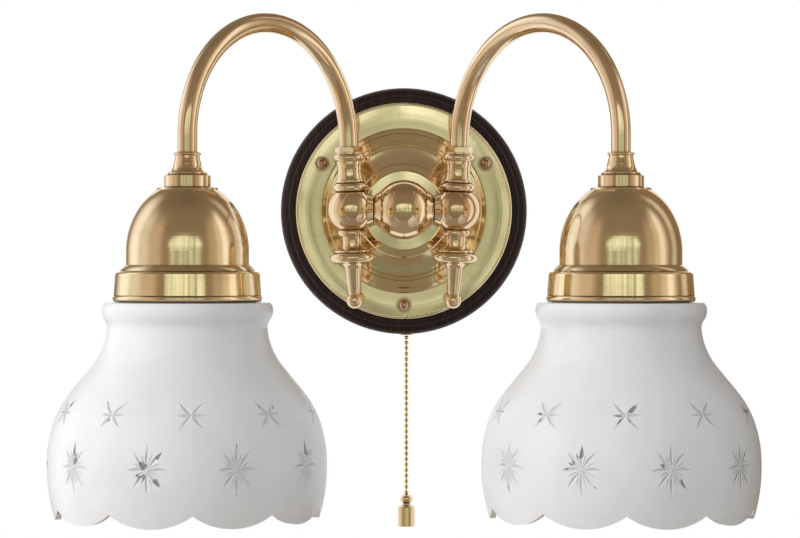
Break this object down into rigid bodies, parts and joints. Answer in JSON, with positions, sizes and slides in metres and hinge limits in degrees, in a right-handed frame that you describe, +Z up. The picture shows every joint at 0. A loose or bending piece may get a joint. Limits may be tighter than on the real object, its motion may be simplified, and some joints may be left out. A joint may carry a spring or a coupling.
{
  "type": "double arm wall sconce",
  "caption": "Wall sconce with bent brass arms on a round wooden plate, frosted cut-glass shades and a pull-chain switch.",
  "frame": {"origin": "centre of the backplate's back face, on the wall", "axes": "+X right, +Z up, and the light stands out from the wall along -Y"},
  "size_m": [0.356, 0.2098, 0.2717],
  "materials": {
    "dark_wood": "dark mahogany stain, satin lacquer",
    "polished_brass": "polished, fine brushed marks",
    "chain_brass": "bright",
    "plain_brass": "unpolished",
    "zinc_steel": "zinc plated",
    "black_fibre": "matte",
    "white_plastic": "moulded",
    "bakelite": "moulded",
    "frosted_glass": "frosted, with clear cut stars",
    "opal_glass": "opal",
    "cable_sheath": "smooth"
  },
  "bodies": {
    "fixture": {"arm_ferrule_left": "polished_brass", "arm_ferrule_right": "polished_brass", "arm_locknut_left": "polished_brass", "arm_locknut_right": "polished_brass", "arm_tube_left": "polished_brass", "arm_tube_right": "polished_brass", "brass_rosette": "polished_brass", "bulb_cap_left": "plain_brass", "bulb_cap_right": "plain_brass", "bulb_globe_left": "opal_glass", "bulb_globe_right": "opal_glass", "chain_guide": "chain_brass", "collar_band_left": "polished_brass", "collar_band_right": "polished_brass", "cross_nipples": "plain_brass", "drop_finial_left": "polished_brass", "drop_finial_right": "polished_brass", "glass_shade_left": "frosted_glass", "glass_shade_right": "frosted_glass", "hub_ball": "polished_brass", "hub_collar": "polished_brass", "hub_lock_washer": "zinc_steel", "hub_locknut": "zinc_steel", "hub_stem": "plain_brass", "lamp_cable_left": "cable_sheath", "lamp_cable_right": "cable_sheath", "lamp_nipples": "plain_brass", "lampholder_body_left": "bakelite", "lampholder_body_right": "bakelite", "lampholder_cap_left": "bakelite", "lampholder_cap_right": "bakelite", "lower_column_left": "polished_brass", "lower_column_right": "polished_brass", "rosette_cap_nuts": "polished_brass", "rosette_studs": "plain_brass", "shade_gallery_left": "polished_brass", "shade_gallery_right": "polished_brass", "shade_gasket_left": "black_fibre", "shade_gasket_right": "black_fibre", "shade_ring_left": "plain_brass", "shade_ring_right": "plain_brass", "side_ball_left": "polished_brass", "side_ball_right": "polished_brass", "side_washers": "black_fibre", "socket_dome_left": "polished_brass", "socket_dome_right": "polished_brass", "switch_case": "white_plastic", "switch_leads": "cable_sheath", "switch_lid": "white_plastic", "switch_screws": "zinc_steel", "terminal_block": "white_plastic", "terminal_screws": "plain_brass", "upper_column_left": "polished_brass", "upper_column_right": "polished_brass", "wood_backplate": "dark_wood"},
    "slider": {"switch_slider": "white_plastic", "inner_chain": "chain_brass"},
    "bead": {"first_bead": "chain_brass"},
    "pull": {"pull_chain": "chain_brass", "chain_pull": "polished_brass"}
  },
  "joints": [
    {"name": "chain_travel", "type": "slide", "parent": "fixture", "child": "slider", "axis": [0, 0, -1], "range_m": [0, 0.008], "stiffness_N_per_m": 1500},
    {"name": "chain_swing_side", "type": "hinge", "parent": "slider", "child": "bead", "pos_m": [0.0014, -0.0065, -0.069], "axis": [0, 1, 0], "range_deg": [-45, 45]},
    {"name": "chain_swing_out", "type": "hinge", "parent": "bead", "child": "pull", "pos_m": [0.0014, -0.0065, -0.069], "axis": [-1, 0, 0], "range_deg": [-1, 45]}
  ]
}
